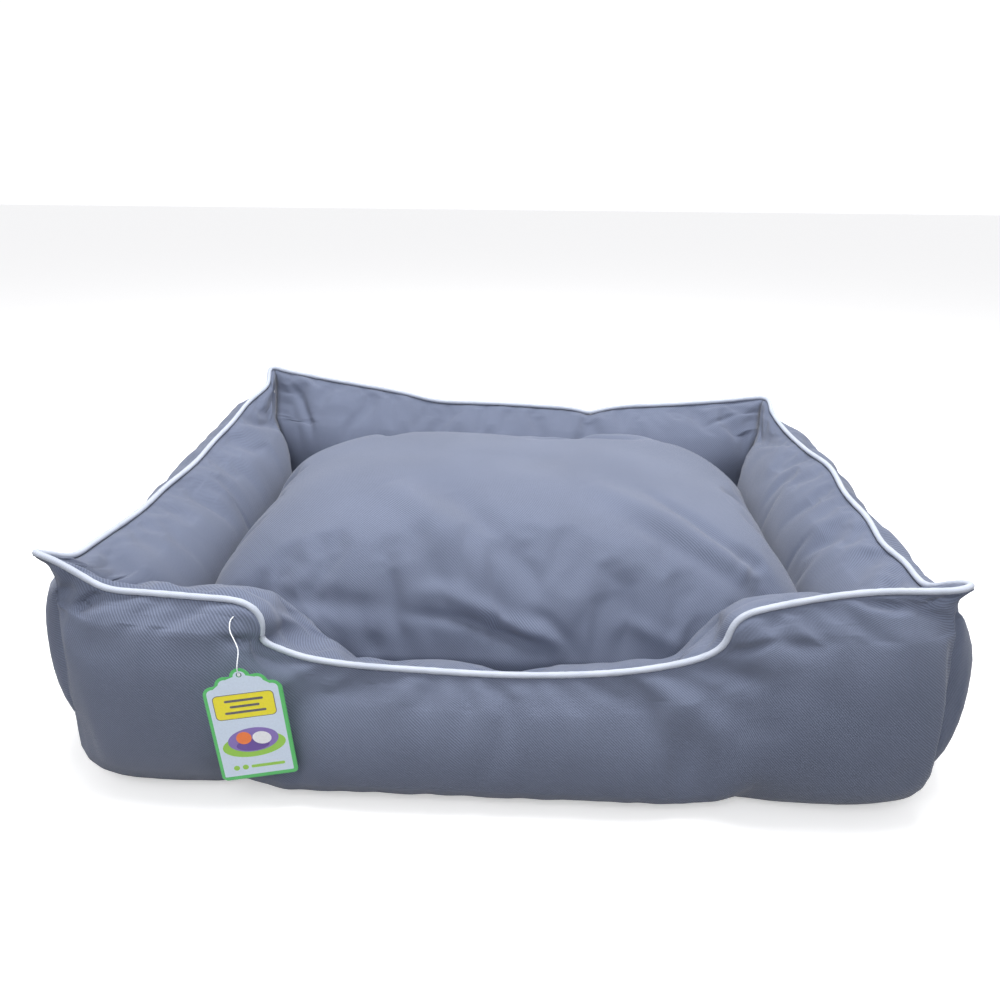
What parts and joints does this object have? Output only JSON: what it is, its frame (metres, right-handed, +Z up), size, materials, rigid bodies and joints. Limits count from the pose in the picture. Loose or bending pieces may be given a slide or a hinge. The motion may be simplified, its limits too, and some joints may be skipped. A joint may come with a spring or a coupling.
{
  "type": "pet cushion bed",
  "caption": "Rectangular padded pet bed with stuffed piped walls, a lowered front entrance, pointed corners and a loose domed cushion.",
  "frame": {"origin": "on the floor under the middle of the bed, without its hanging tag", "axes": "+X to the right of someone facing the entrance, along the longer side; +Y from the entrance to the back wall; +Z up"},
  "size_m": [0.824, 0.6437, 0.25],
  "materials": {
    "slate_twill": "slate blue-grey cotton twill, matt with a faint sheen",
    "base_fabric": "dark woven base cloth with small rubber grip dots",
    "polyester_wadding": "soft white needled wadding",
    "polyester_fibre": "loose white polyester fibre filling",
    "piping_cotton": "off-white woven cotton tape",
    "cord_cotton": "twisted undyed cotton cord",
    "zip_tape": "woven grey-blue zip tape",
    "zip_teeth": "moulded polyester coil",
    "zip_metal": "grey enamelled zinc",
    "nylon": "clear white nylon",
    "tag_card": "coated printed card, semi gloss"
  },
  "bodies": {
    "bed": {"base_cloth": "base_fabric", "floor_padding": "polyester_wadding", "floor_lining": "slate_twill", "front_outer_panel": "slate_twill", "front_inner_panel": "slate_twill", "front_filling": "polyester_fibre", "back_outer_panel": "slate_twill", "back_inner_panel": "slate_twill", "back_filling": "polyester_fibre", "left_outer_panel": "slate_twill", "left_inner_panel": "slate_twill", "left_filling": "polyester_fibre", "right_outer_panel": "slate_twill", "right_inner_panel": "slate_twill", "right_filling": "polyester_fibre", "piping_tape": "piping_cotton", "piping_cord": "cord_cotton", "tag_anchor": "nylon"},
    "cushion": {"cushion_top_cover": "slate_twill", "cushion_bottom_cover": "slate_twill", "cushion_filling": "polyester_fibre", "zip_tape": "zip_tape", "zip_teeth": "zip_teeth"},
    "zip_slider": {"zip_slider": "zip_metal"},
    "zip_pull": {"zip_pull": "zip_metal"},
    "tag_fastener": {"tag_filament": "nylon"},
    "swing_tag": {"swing_tag": "tag_card"}
  },
  "joints": [
    {"name": "cushion_lift", "type": "slide", "parent": "bed", "child": "cushion", "axis": [0, 0, 1], "range_m": [0, 0.3]},
    {"name": "zip_slide", "type": "slide", "parent": "cushion", "child": "zip_slider", "axis": [-1, 0, 0], "range_m": [0, 0.408]},
    {"name": "zip_pull_swing", "type": "hinge", "parent": "zip_slider", "child": "zip_pull", "pos_m": [0.2046, 0.2099, 0.08], "axis": [0, 1, 0], "range_deg": [-80, 80]},
    {"name": "tag_swing", "type": "hinge", "parent": "bed", "child": "tag_fastener", "pos_m": [-0.21086, -0.3004, 0.17217], "axis": [0, 1, 0], "range_deg": [-40, 40]},
    {"name": "tag_flip", "type": "hinge", "parent": "tag_fastener", "child": "swing_tag", "pos_m": [-0.19786, -0.32256, 0.14329], "axis": [-0.9824, -0.1732, -0.0698], "range_deg": [0, 70]}
  ]
}
